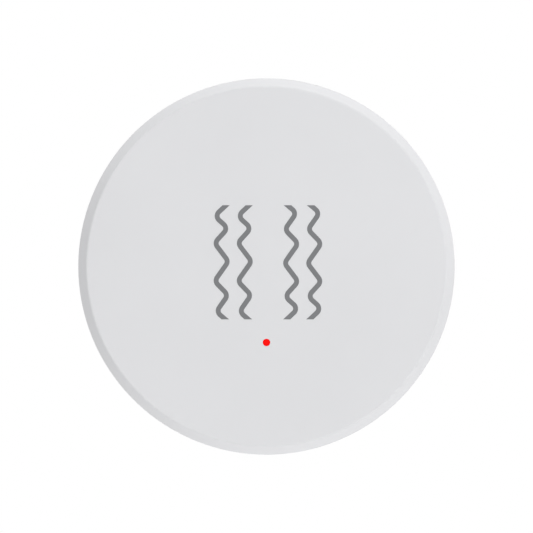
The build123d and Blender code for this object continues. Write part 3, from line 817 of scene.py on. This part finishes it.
crown_reach = screw_head_radius - screw_head_round
head_round_centre = (crown_reach, screw_back + screw_crown + screw_head_round)
thread_steps = round((screw_tip - screw_seat) / thread_pitch * thread_rows)
screw_mesh = skin("screw", [
    [(0, 0, screw_back)],
    *(circle(crown_reach * share, screw_back + screw_crown * share**2) for share in crown_shares),
    *(circle(*corner) for corner in rounded_corner(head_round_centre, screw_head_round, -72, 0, 5)),
    circle(screw_head_radius, screw_seat),
    *(thread_ring(depth) for depth in spaced(screw_seat, screw_tip, thread_steps)[:-1]),
    [(0, 0, screw_tip)],
])
print("screw", len(screw_mesh.polygons), "faces")

# %% Cross recess
recess_depth = 0.75 * mm
recess_arm = 1.0 * mm
recess_width = 0.24 * mm
recess_taper = 0.5
recess_overrun = 0.2 * mm


def cross(depth, scale):
    """Twelve-cornered outline of the recess at a depth."""
    arm, width = recess_arm * scale, recess_width * scale
    quarter = [(arm, -width), (arm, width), (width, width)]
    turns = [Matrix.Rotation(radians(90 * turn), 2) for turn in range(4)]
    return [(*(turn @ Vector(corner)), depth) for turn in turns for corner in quarter]


recess_rings = [cross(screw_back - recess_overrun, 1.0), cross(screw_back + recess_depth, recess_taper)]
recess = add_object("recess", skin("recess", recess_rings))
print("recess", round(recess_depth / mm, 2), "mm deep")

# %% Screw recipe
screw_seed = 7

screwing = Recipe(
    "screws_on_a_ring", Cutter="object", Ring_Radius=float, Count=int, First_Angle=float, Material="material",
)
given = screwing.given
cutter = screwing.add("GeometryNodeObjectInfo", {"Object": given["Cutter"]}, output="Geometry")
solids = {0: given["Geometry"], 1: cutter}
cut = screwing.add("GeometryNodeMeshBoolean", solids, operation="DIFFERENCE", solver="EXACT")
ring_size = {"Vertices": given["Count"], "Radius": given["Ring Radius"]}
ring = screwing.add("GeometryNodeMeshCircle", ring_size)
first_turn = screwing.add("ShaderNodeCombineXYZ", {2: given["First Angle"]})
turned_ring = screwing.add("GeometryNodeTransform", {"Geometry": ring, "Rotation": first_turn})
chance = {3: 2 * pi, "Seed": screw_seed}
any_turn = screwing.add("FunctionNodeRandomValue", chance, output=1, data_type="FLOAT")
turn_about = screwing.add("ShaderNodeCombineXYZ", {2: any_turn})
copies = {"Points": turned_ring, "Instance": cut, "Rotation": turn_about}
screwing.end(screwing.add("GeometryNodeInstanceOnPoints", copies))

# %% Screw finish and pieces
def plated(name, colour, roughness=(0.24, 0.38), marks=0.25 * mm, depth=0.0008 * mm, stretch=(1, 1, 1)):
    """Plated steel: polish that varies in patches, a darker bloom, and drawn or tumbled marks."""
    made = Finish(name, Metallic=1.0)
    tone = made.mottle(made.noise(1.8 * mm, detail=4.0), colour, 0.86)
    scratches = made.noise(marks, detail=3.0, stretch=stretch)
    made.bump(scratches, depth)
    return made.done(tone, Roughness=made.spread(scratches, *roughness))


screws = screwing.grow(
    screw_mesh, Cutter=recess, Ring_Radius=(screw_high.x - screw_head_radius) * 2**0.5, Count=4,
    First_Angle=radians(45), Material=plated("screw_steel_finish", (0.55, 0.55, 0.56)),
)
bpy.data.objects.remove(recess)
smooth_by_angle(screws)
add_piece("housing_screws_set", screws, "housing", "housing_screws", slot="screw_steel")

# %% [markdown]
# ## Adhesive foam
#
# Two crescents of foam tape hold the tag to the wall. Foam tape is punched from a sheet: its flat
# sides are skins of film and its cut sides show the open foam, drawn in a little between the
# skins. Displacing a plain block would soften the rims where film meets foam. So the outline, four
# arcs and four rounded corners, is stacked at several depths, each with its own inset, and the
# rows of the cut side are roughened by a seeded random step.

# %% Crescent outline
pad_low, pad_high = bench_box("adhesive_pad_right")
pad_inner = 13.8 * mm
pad_outer = pad_high.x
pad_corner = 1.0 * mm
pad_half_sweep = radians(32)
arc_steps = 48
corner_steps = 8
same_place = 0.001 * mm


def crescent(inner, outer, half_sweep, corner):
    """Points of a crescent about +x with the outward direction at each, anticlockwise."""
    middle, right = Vector((0, 0)), pi / 2
    top_outer = half_sweep - asin(corner / (outer - corner))
    top_inner = half_sweep - asin(corner / (inner + corner))
    arcs = (
        (middle, outer, -top_outer, top_outer, arc_steps, 1),
        (polar(outer - corner, top_outer), corner, top_outer, half_sweep + right, corner_steps, 1),
        (polar(inner + corner, top_inner), corner, half_sweep + right, top_inner + pi, corner_steps, 1),
        (middle, inner, top_inner, -top_inner, arc_steps, -1),
        (polar(inner + corner, -top_inner), corner, pi - top_inner, 3 * right - half_sweep, corner_steps, 1),
        (polar(outer - corner, -top_outer), corner, -half_sweep - right, -top_outer, corner_steps, 1),
    )
    rim = []
    for centre, radius, start, end, steps, sign in arcs:
        ways = [polar(1, turn) for turn in spaced(start, end, steps)]
        rim += [(centre + way * radius, way * sign) for way in ways]
    return [now for now, before in zip(rim, rim[-1:] + rim) if (now[0] - before[0]).length > same_place]


pad_rim = crescent(pad_inner, pad_outer, pad_half_sweep, pad_corner)
print("crescent outline", len(pad_rim), "points")

# %% Foam finish
film = 0.05 * mm


def foam(name, colour, skin_colour, thickness):
    """Open foam on the cut sides, and a smoother film with a trace of tack on both flat sides."""
    made = Finish(name)
    depth = made.math("MULTIPLY", made.axis("Y"), -1.0)
    covered = made.math("MAXIMUM", made.below(depth, film), made.above(depth, thickness - film))
    pores = made.cells(0.16 * mm)
    # The pores' middles, sunk in the bump, are painted darker: painted shade inside the open cells.
    foam_tone_painted_pore_shade = made.ramp(pores, (0.1, shade(colour, 0.55)), (0.45, colour))
    film_tone = made.mottle(made.noise(3 * mm, detail=3.0), skin_colour, 0.94)
    made.bump(made.math("MULTIPLY", pores, made.math("SUBTRACT", 1.0, covered)), 0.04 * mm)
    made.bump(made.noise(1.2 * mm), 0.004 * mm)
    rough = made.spread(covered, 0.9, 0.32, 0.0, 1.0)
    return made.done(made.mix(covered, foam_tone_painted_pore_shade, film_tone), Roughness=rough)


foam_thickness = pad_high.z - pad_low.z
foam_tape = foam("foam_tape_finish", (0.3, 0.305, 0.315), (0.36, 0.365, 0.375), foam_thickness)
print("foam", round(foam_thickness / mm, 2), "mm thick")

# %% Foam pads
film_inset = 0.05 * mm
foam_inset = 0.03 * mm
foam_waist = 0.055 * mm
rough_step = 0.018 * mm
foam_sharp_angle = radians(50)
# Each row of the cut side: share of the thickness, inset, and whether it is open foam.
near_rows = [
    (0.0, film_inset, False), (0.02, film_inset / 4, False), (0.06, 0.0, False),
    (0.12, foam_inset, True), (0.3, foam_waist, True),
]
far_rows = [(1 - share, inset, is_open) for share, inset, is_open in reversed(near_rows)]
pad_rows = [*near_rows, (0.5, foam_waist, True), *far_rows]
dice = random.Random(11)


def pad_mesh(name, turn):
    """Foam crescent, turned half round for the left one."""
    rings = []
    for share, inset, is_open in pad_rows:
        insets = [inset + (rough_step * dice.random() if is_open else 0.0) for _ in pad_rim]
        spots = [spot - way * step for (spot, way), step in zip(pad_rim, insets)]
        rings.append([(*spot, share * foam_thickness) for spot in spots])
    made = skin(name, rings)
    made.transform(Matrix.Rotation(turn, 4, "Z"))
    smooth_by_angle(made, foam_sharp_angle)
    made.materials.append(foam_tape)
    return made


for hand, turn in (("right", 0.0), ("left", pi)):
    name = f"foam_crescent_{hand}"
    pad = add_piece(name, pad_mesh(name, turn), "housing", f"adhesive_pad_{hand}", slot="foam_tape")

# %% [markdown]
# ## Marks that guide the hand
#
# A coin-turn door needs to say where it is locked. On the plate a raised dot stands for locked, a
# ring for open, and a swept arrow leads from one to the other. A pointer on the door itself moves
# between them. All are moulded with the piece that they stand on, a fifth of a millimetre high. A
# bump in the finish could fake them, but would stay flat when seen from the side, so each is a
# small closed mesh with a broken edge.

# %% Low relief
mark_height = 0.2 * mm
mark_edge = 0.05 * mm
mark_sunk = 0.02 * mm
plate_back = bench_box("rear_housing")[0].z
door_back = bench_box("battery_door")[0].z


def raised(outline, base):
    """Closed low relief on a flat outline, rising towards the wall, with a broken edge."""
    middle = sum(outline, Vector((0, 0))) / len(outline)
    shrunk = [spot - (spot - middle).normalized() * mark_edge for spot in outline]
    top = base - mark_height
    levels = ((outline, base + mark_sunk), (outline, top + mark_edge), (shrunk, top))
    return skin("mark", [[(*spot, depth) for spot in spots] for spots, depth in levels])


def relief_section(low, high, base):
    """(place, depth) corners of a low ridge between two places, with its crest in the middle."""
    top = base - mark_height
    return [
        (low, base + mark_sunk), (low, top + mark_edge), ((low + high) / 2, top),
        (high, top + mark_edge), (high, base + mark_sunk),
    ]


def joined(name, meshes, material):
    """One mesh out of several closed ones."""
    made = bpy.data.meshes.new(name)
    with edited(made) as work:
        for mesh in meshes:
            work.from_mesh(mesh)
    made.materials.append(material)
    smooth_by_angle(made)
    return made


print("plate", round(plate_back / mm, 2), "mm and door", round(door_back / mm, 2), "mm from the wall")

# %% Lock marks
mark_radius = 13.5 * mm
locked_angle, open_angle = radians(90), radians(50)
dot_radius = 0.32 * mm
dot_steps = 32
hole_radius = 0.18 * mm
arrow_start, arrow_end = radians(86.5), radians(57)
arrow_steps = 24
arrow_width = 0.2 * mm
arrow_head = 0.42 * mm
arrow_head_length = 1.3 * arrow_head

locked_centre = polar(mark_radius, locked_angle)
dot = raised([locked_centre + polar(dot_radius, turn) for turn in all_round(dot_steps)], plate_back)
shaft_section = relief_section(mark_radius - arrow_width / 2, mark_radius + arrow_width / 2, plate_back)
shaft = skin("shaft", [
    [(*polar(reach, turn), depth) for reach, depth in shaft_section]
    for turn in spaced(arrow_start, arrow_end, arrow_steps)
])
arrow_tip, arrow_side = polar(mark_radius, arrow_end), polar(arrow_head, arrow_end)
arrow_point = arrow_tip + polar(arrow_head_length, arrow_end - radians(90))
head = raised([arrow_point, arrow_tip + arrow_side, arrow_tip - arrow_side], plate_back)
ring_section = relief_section(hole_radius, dot_radius, plate_back)
open_ring = turned(
    [*ring_section, ring_section[0]], steps=40, material=shell_white, centre=polar(mark_radius, open_angle),
)
lock_marks = joined("lock_marks", [dot, shaft, head, open_ring], shell_white)
add_piece("lock_marks", lock_marks, "housing", slot="shell_white")

# %% Door pointer
pointer_radius = 11.7 * mm
pointer_half = 0.42 * mm
pointer_length = 1.5 * pointer_half

pointer_base, pointer_side = polar(pointer_radius, locked_angle), Vector((pointer_half, 0))
pointer_tip = polar(pointer_radius + pointer_length, locked_angle)
pointer = raised([pointer_tip, pointer_base - pointer_side, pointer_base + pointer_side], door_back)
add_piece("door_pointer", joined("door_pointer", [pointer], door_white), "door", slot="door_white")

# %% [markdown]
# ## Small parts on the board
#
# Resistors, capacitors and inductors are the same brick in three sizes: a body between two tinned
# ends. The packed model says where each one lies. The separate solids of a node are found by
# walking over shared corners, one brick is made at their size, and a recipe sets it on each place.
# The brick carries a UV map whose u runs along it, and the finish reads the ends from that.

# %% Find the solids of a node
def solids_of(node):
    """(lowest, highest) bench corner of each separate solid of a CAD node."""
    work = bmesh.new()
    work.from_mesh(nodes[node].data)
    bmesh.ops.remove_doubles(work, verts=work.verts, dist=touching)
    left, found = set(work.verts), []
    while left:
        wave, island = {left.pop()}, []
        while wave:
            island += wave
            wave = {side.other_vert(vertex) for vertex in wave for side in vertex.link_edges} & left
            left -= wave
        found.append(box_of([on_bench(vertex.co) for vertex in island]))
    work.free()
    return sorted(found, key=lambda box: tuple(round(value / mm, 3) for value in box[0]))


print("resistors", len(solids_of("resistors")))

# %% Placing recipe and brick
brick_edge = 0.04 * mm
brick_edge_rows = 3

placing = Recipe("parts_in_place", Part="object", Material="material")
part_shape = placing.add("GeometryNodeObjectInfo", {"Object": placing.given["Part"]}, output="Geometry")
copies = {"Points": placing.given["Geometry"], "Instance": part_shape}
placing.end(placing.add("GeometryNodeInstanceOnPoints", copies))


def brick(name, size):
    """Brick with rounded edges about the origin, with u of its UV map running along x."""
    made = bpy.data.meshes.new(name)
    with edited(made) as work:
        bmesh.ops.create_cube(work, size=1.0)
        bmesh.ops.scale(work, vec=size, verts=work.verts)
        rounding = dict(offset=brick_edge, segments=brick_edge_rows, profile=0.5, affect="EDGES")
        bmesh.ops.bevel(work, geom=work.edges, **rounding)
        along = work.loops.layers.uv.new("along")
        for face in work.faces:
            face.smooth = True
            for loop in face.loops:
                loop[along].uv = (loop.vert.co.x / size[0] + 0.5, loop.vert.co.y / size[1] + 0.5)
    return made


# %% Tinned finish and pieces
def tinned_brick(name, body_colour, end_share):
    """Ceramic or moulded body between two tinned ends, read along the brick's UV map."""
    made = Finish(name)
    u = made.add("ShaderNodeSeparateXYZ", {0: made.add("ShaderNodeUVMap", uv_map="along")}, "X")
    end = made.above(made.away(u, 0.5), 0.5 - end_share, soft=0.01)
    grain = made.noise(0.12 * mm, detail=3.0)
    body = made.mottle(grain, body_colour, 0.88)
    tin = made.blend(grain, (0.6, 0.6, 0.59), (0.74, 0.74, 0.73))
    made.bump(grain, 0.002 * mm)
    return made.done_part_metal(end, body, tin, 0.45, 0.3)


small_parts = {
    "resistor": ((0.02, 0.02, 0.022), 0.2, "resistor_black"),
    "capacitor": ((0.42, 0.27, 0.15), 0.24, "capacitor_tan"),
    "inductor": ((0.09, 0.09, 0.1), 0.18, "inductor_grey"),
}
for kind, (colour, end_share, slot) in small_parts.items():
    boxes = solids_of(f"{kind}s")
    part = add_object("part", brick("part", boxes[0][1] - boxes[0][0]))
    middles = bench_mesh("middles", [(low + high) / 2 for low, high in boxes])
    made = placing.grow(middles, Part=part, Material=tinned_brick(f"{kind}_finish", colour, end_share))
    bpy.data.objects.remove(part)
    add_piece(f"{kind}_set", made, "housing", f"{kind}s", slot=slot)

# %% [markdown]
# ## Finishes of the inner pieces
#
# The rest of the packed nodes keep their own mesh, which is right as it is, and only get a finish.
# Each is written for what the piece is made of, because a chip, a seal and a coin cell catch the
# light in quite different ways, and the material goes with the piece into other scenes.

# %% Rubber, nylon and moulded black
def rubber(name, colour):
    """Silicone rubber: matt, with a dusty bloom and a fine skin."""
    made = Finish(name, Specular_IOR_Level=0.4)
    bloom = made.noise(0.8 * mm, detail=4.0)
    tone = made.ramp(bloom, (0.35, colour), (0.75, shade(colour, 1.5)))
    made.bump(made.noise(0.07 * mm), 0.002 * mm)
    return made.done(tone, Roughness=made.spread(bloom, 0.6, 0.8))


finishes = {
    shell_white: ["front_cover", "rear_housing"],
    door_white: ["battery_door"],
    rubber("seal_rubber_finish", (0.05, 0.052, 0.056)): ["housing_seal", "door_seal", "button_seal"],
    moulded("gasket_nylon_finish", (0.16, 0.165, 0.17), grain=0.1 * mm): ["cell_gasket"],
    moulded("switch_black_finish", (0.02, 0.02, 0.021), grain=0.08 * mm): ["switch_base"],
    moulded("plunger_cream_finish", (0.62, 0.55, 0.42), grain=0.08 * mm): ["switch_plunger"],
    moulded("lamp_white_finish", (0.75, 0.74, 0.7), grain=0.05 * mm): ["led_base"],
    moulded("cell_core_finish", (0.03, 0.03, 0.032), gloss=(0.7, 0.9), grain=0.05 * mm): ["cell_core"],
}
print("finishes so far", len(finishes))

# %% Steel, nickel and the coin cell
drawn = dict(marks=0.05 * mm, stretch=(12, 1, 1))


def turned_metal(name, colour, centre=(0, 0), ring=0.06 * mm):
    """Metal drawn or turned about an axis, with fine rings and a few cloudy patches."""
    made = Finish(name, Metallic=1.0)
    rings = made.rings(ring, *centre)
    tone = made.mottle(made.noise(2.5 * mm, detail=4.0), colour, 0.9)
    made.bump(rings, 0.0012 * mm)
    made.bump(made.noise(0.6 * mm, detail=4.0), 0.001 * mm)
    return made.done(tone, Roughness=made.spread(rings, 0.2, 0.34))


finishes |= {
    turned_metal("cell_steel_finish", (0.62, 0.62, 0.61)): ["cell_can", "cell_cap"],
    turned_metal("spring_steel_finish", (0.58, 0.57, 0.54), button_centre, ring=0.04 * mm): ["snap_dome"],
    plated("contact_nickel_finish", (0.66, 0.63, 0.56), **drawn): ["positive_contact", "negative_contact"],
    plated("switch_steel_finish", (0.6, 0.6, 0.6), **drawn): ["switch_cover"],
}
print("finishes so far", len(finishes))

# %% Chips
pin_dot = 0.35 * mm


def epoxy_chip(node, colour=(0.022, 0.022, 0.024)):
    """Black moulded chip: silica specks, a laser-dull top, and the dot that marks pin one."""
    low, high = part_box(node)
    made = Finish(f"{node}_finish")
    from_dot = made.radius(low.x + 2 * pin_dot, high.z - 2 * pin_dot)
    inside = made.below(from_dot, pin_dot, soft=0.03 * mm)
    specks = made.noise(0.05 * mm, detail=4.0)
    tone = made.ramp(specks, (0.3, colour), (0.8, shade(colour, 2.2)))
    made.bump(specks, 0.0015 * mm)
    made.bump(inside, -0.03 * mm)
    rough = made.math("SUBTRACT", made.spread(specks, 0.5, 0.65), made.math("MULTIPLY", inside, 0.25))
    return made.done(tone, Roughness=rough)


finishes |= {epoxy_chip(node): [node] for node in ("radio_chip", "accelerometer")}
print("finishes so far", len(finishes))

# %% Crystals, antenna and buffer capacitor
def metal_ended(node, body_colour, end_share):
    """Ceramic block with a metal band at each end along X."""
    low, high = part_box(node)
    made = Finish(f"{node}_finish")
    from_middle = made.away(made.axis("X"), (low.x + high.x) / 2)
    end = made.above(from_middle, (high.x - low.x) / 2 * (1 - end_share), soft=0.02 * mm)
    grain = made.noise(0.15 * mm, detail=4.0)
    metal = made.blend(grain, (0.55, 0.55, 0.54), (0.72, 0.72, 0.7))
    made.bump(grain, 0.002 * mm)
    return made.done_part_metal(end, made.mottle(grain, body_colour, 0.9), metal, 0.5, 0.3)


def crystal_can(node, lid_share=0.45):
    """Welded metal lid over a ceramic base, told apart by depth."""
    low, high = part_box(node)
    made = Finish(f"{node}_finish")
    lid = made.below(made.axis("Y"), high.y - (high.y - low.y) * lid_share)
    grain = made.noise(0.4 * mm, detail=4.0)
    base = made.blend(grain, (0.05, 0.045, 0.04), (0.08, 0.07, 0.06))
    metal = made.blend(grain, (0.6, 0.57, 0.5), (0.74, 0.71, 0.63))
    made.bump(made.noise(0.06 * mm, stretch=(8, 1, 1)), 0.0006 * mm)
    return made.done_part_metal(lid, base, metal, 0.6, 0.28)


finishes |= {crystal_can(node): [node] for node in ("main_crystal", "clock_crystal")}
finishes |= {
    metal_ended("chip_antenna", (0.72, 0.7, 0.66), 0.12): ["chip_antenna"],
    metal_ended("buffer_capacitor", (0.62, 0.42, 0.05), 0.1): ["buffer_capacitor"],
}
print("finishes so far", len(finishes))

# %% Lamp lens
def clear_lens(name):
    """Clear resin, cloudy in small patches."""
    made = Finish(name, Transmission_Weight=0.75, IOR=1.5)
    cloud = made.noise(0.3 * mm)
    made.bump(cloud, 0.0008 * mm)
    tone = made.blend(cloud, (0.9, 0.82, 0.8), (0.96, 0.9, 0.88))
    return made.done(tone, Roughness=made.spread(cloud, 0.08, 0.2))


finishes[clear_lens("lamp_lens_finish")] = ["led_lens"]
print("finishes so far", len(finishes))

# %% [markdown]
# ## Circuit board
#
# A board is green solder mask over copper, and its cut rim shows the glass fibre. Real tracks could
# be drawn one by one, but their layout is not known, and chance gives the same look. The face is
# laid out in square tiles. By chance a tile has tracks or none, which run upright or across, and by
# chance there is a tinned via at a tile's corner.

# %% Tiles and tracks
track_grid = 0.5 * mm
track_width = 0.16 * mm
tile = 4 * track_grid


def tile_chance(made, seed, rounding="FLOOR"):
    """A random number for each square tile of the board's face, or with ROUND for each tile's corner."""
    across, along = (
        made.math(rounding, made.math("MULTIPLY", made.axis(letter), 1 / tile)) for letter in "XZ"
    )
    corner = made.add("ShaderNodeCombineXYZ", {0: across, 1: seed, 2: along})
    return made.add("ShaderNodeTexWhiteNoise", {"Vector": corner})


def tracks(made, letter):
    """Straight tracks side by side along an axis."""
    return made.below(made.math("PINGPONG", made.axis(letter), track_grid / 2), track_width / 2)


print("tracks in a tile", round(tile / track_grid))

# %% Circuit board
via_radius = 0.24 * mm
via_hole_radius = 0.11 * mm
mask_edge = 0.03 * mm


def circuit_board_finish(name):
    """Green solder mask over straight copper tracks and tinned vias, with bare glass fibre at the rim."""
    low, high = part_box("circuit_board")
    made = Finish(name)
    from_middle = made.away(made.axis("Y"), (low.y + high.y) / 2)
    on_face = made.above(from_middle, (high.y - low.y) / 2 - mask_edge)
    upright = made.above(tile_chance(made, 3), 0.5, soft=0.01)
    shown = made.above(tile_chance(made, 8), 0.45, soft=0.01)
    either_way = made.add("ShaderNodeMix", {0: upright, 2: tracks(made, "Z"), 3: tracks(made, "X")})
    track = made.math("MULTIPLY", either_way, shown)
    sides = [made.math("POWER", made.math("PINGPONG", made.axis(letter), tile / 2), 2.0) for letter in "XZ"]
    from_via = made.math("SQRT", made.math("ADD", *sides))
    drilled = made.above(tile_chance(made, 5, rounding="ROUND"), 0.6, soft=0.01)
    pad = made.math("MULTIPLY", drilled, made.below(from_via, via_radius))
    hole = made.math("MULTIPLY", drilled, made.below(from_via, via_hole_radius))
    weave = made.noise(track_grid * 0.6, detail=3.0, stretch=(4, 1, 1))
    mask = made.mix(track, (0.008, 0.085, 0.03), (0.014, 0.14, 0.048))
    # The via holes are painted near black: painted shade inside the drilled holes, within the tinned pads.
    via_tin_and_painted_hole_shade = made.mix(hole, (0.62, 0.6, 0.55), (0.02, 0.025, 0.02))
    rim = made.blend(weave, (0.3, 0.26, 0.14), (0.42, 0.38, 0.22))
    made.bump(made.math("MAXIMUM", track, pad), 0.02 * mm)
    made.bump(hole, -0.05 * mm)
    made.bump(weave, 0.002 * mm)
    rough = made.spread(made.noise(1.5 * mm), 0.25, 0.4)
    metal = made.math("MULTIPLY", made.math("SUBTRACT", pad, hole), on_face)
    print("board finish", len(made.tree.nodes), "nodes")
    return made.done(made.mix(on_face, rim, made.mix(pad, mask, via_tin_and_painted_hole_shade)), Roughness=rough, Metallic=metal)


finishes[circuit_board_finish("circuit_board_finish")] = ["circuit_board"]

# %% Dress the packed nodes
for finish, dressed in finishes.items():
    for name in dressed:
        for material_slot in nodes[name].material_slots:
            material_slot.material = finish
bare = set(nodes) - {name for dressed in finishes.values() for name in dressed}
print("dressed", len(nodes) - len(bare), "replaced", sorted(bare))

# %% [markdown]
# ## Sizes
#
# The looks must not change the object's size.
